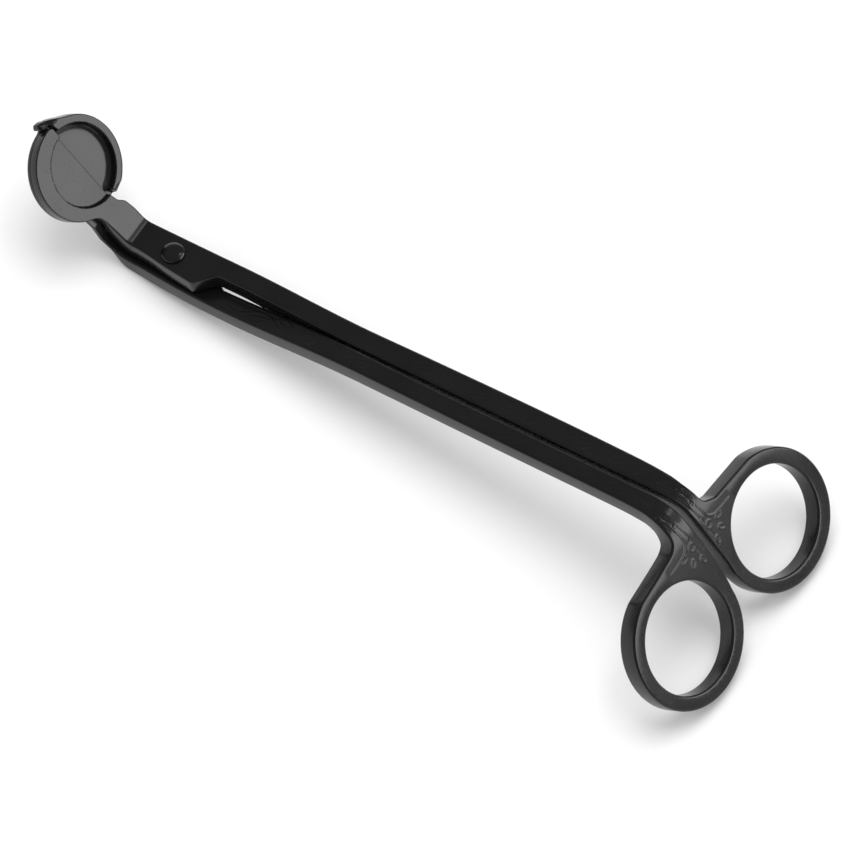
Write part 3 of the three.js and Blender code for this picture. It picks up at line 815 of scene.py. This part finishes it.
# ------------------------------------------------------------------ camera
K = 5.22                                            # picture px per mm
CAM = np.stack([RY @ np.array(v) for v in ((-0.8314, -0.5417, -0.1241), (0.3983, -0.7365, 0.5467), (-0.3875, 0.4051, 0.8281))], 1)
uu, _, vv = np.linalg.svd(CAM)
CAM = uu @ vv
DIST = 20.0
origin = to_world(np.zeros(3))
dx, dy = (425 - 678.83) / K / 1000, -(425 - 511.13) / K / 1000
aim = origin + CAM[:, 0] * dx + CAM[:, 1] * dy
cam = bpy.data.cameras.new("camera")
cam.sensor_width = 36
cam.sensor_fit = "HORIZONTAL"
cam.lens = 36 * DIST / (850 / K / 1000)
cam.clip_start, cam.clip_end = 0.1, 50
co = bpy.data.objects.new("camera", cam)
bpy.context.scene.collection.objects.link(co)
M = Matrix([list(r) for r in CAM]).to_4x4()
M.translation = Vector((aim + CAM[:, 2] * (DIST - 0.02)).tolist())
co.matrix_world = M
bpy.context.scene.camera = co

# ------------------------------------------------------------------ floor
me = bpy.data.meshes.new("floor")
S_, n_ = 6.0, 24
v = [[(i / n_ - 0.5) * S_, (j / n_ - 0.5) * S_, -0.00005] for j in range(n_ + 1) for i in range(n_ + 1)]
f = [[j * (n_ + 1) + i, j * (n_ + 1) + i + 1, (j + 1) * (n_ + 1) + i + 1, (j + 1) * (n_ + 1) + i] for j in range(n_) for i in range(n_)]
me.from_pydata(v, [], f)
floor = bpy.data.objects.new("floor", me)
bpy.context.scene.collection.objects.link(floor)
fm = bpy.data.materials.new("floor_pale")
fm.use_nodes = True
fb = fm.node_tree.nodes["Principled BSDF"]
fb.inputs["Base Color"].default_value = (0.86, 0.86, 0.86, 1)
fb.inputs["Roughness"].default_value = 0.9
fb.inputs["Specular IOR Level"].default_value = 0.1
me.materials.append(fm)


# ------------------------------------------------------------------ light
def area(name, az, el, dist, sx, sy, radiance):
    """Soft box towards the object, az and el in degrees; radiance sets its face brightness."""
    a, e = math.radians(az), math.radians(el)
    d = Vector((math.cos(e) * math.cos(a), math.cos(e) * math.sin(a), math.sin(e)))
    l = bpy.data.lights.new(name, "AREA")
    l.shape = "RECTANGLE"
    l.size, l.size_y = sx, sy
    l.energy = radiance * math.pi * sx * sy
    o = bpy.data.objects.new(name, l)
    o.location = d * dist
    o.rotation_euler = d.to_track_quat("Z", "Y").to_euler()
    bpy.context.scene.collection.objects.link(o)
    return o


key = area("key_overhead", -62, 78, 1.6, 1.0, 1.0, 3.8)
key.visible_glossy = False
side = area("side_panel", -152, 24, 1.6, 1.6, 0.85, 5.2)
side.visible_diffuse = False
upper = area("upper_panel", -134, 56, 1.6, 0.9, 0.7, 1.0)
upper.visible_diffuse = False
sweep = area("back_sweep", -52, 9, 1.9, 2.6, 0.5, 1.3)
sweep.visible_diffuse = False
spot = area("small_soft_box", -104, 63, 1.6, 0.28, 0.28, 4.5)
spot.visible_diffuse = False

w = bpy.data.worlds.new("studio")
bpy.context.scene.world = w
w.use_nodes = True
bg = w.node_tree.nodes["Background"]
bg.inputs[0].default_value = (1, 1, 1, 1)
bg.inputs[1].default_value = 0.92
# the room is soft fill on the floor, but dim where the coat mirrors it
dim = w.node_tree.nodes.new("ShaderNodeBackground")
dim.inputs[0].default_value = (1, 1, 1, 1)
dim.inputs[1].default_value = 0.28
path = w.node_tree.nodes.new("ShaderNodeLightPath")
mix = w.node_tree.nodes.new("ShaderNodeMixShader")
wo = w.node_tree.nodes["World Output"]
w.node_tree.links.new(path.outputs["Is Glossy Ray"], mix.inputs[0])
w.node_tree.links.new(bg.outputs[0], mix.inputs[1])
w.node_tree.links.new(dim.outputs[0], mix.inputs[2])
w.node_tree.links.new(mix.outputs[0], wo.inputs[0])

bpy.context.scene.view_settings.view_transform = "Standard"
bpy.context.scene.view_settings.look = "None"
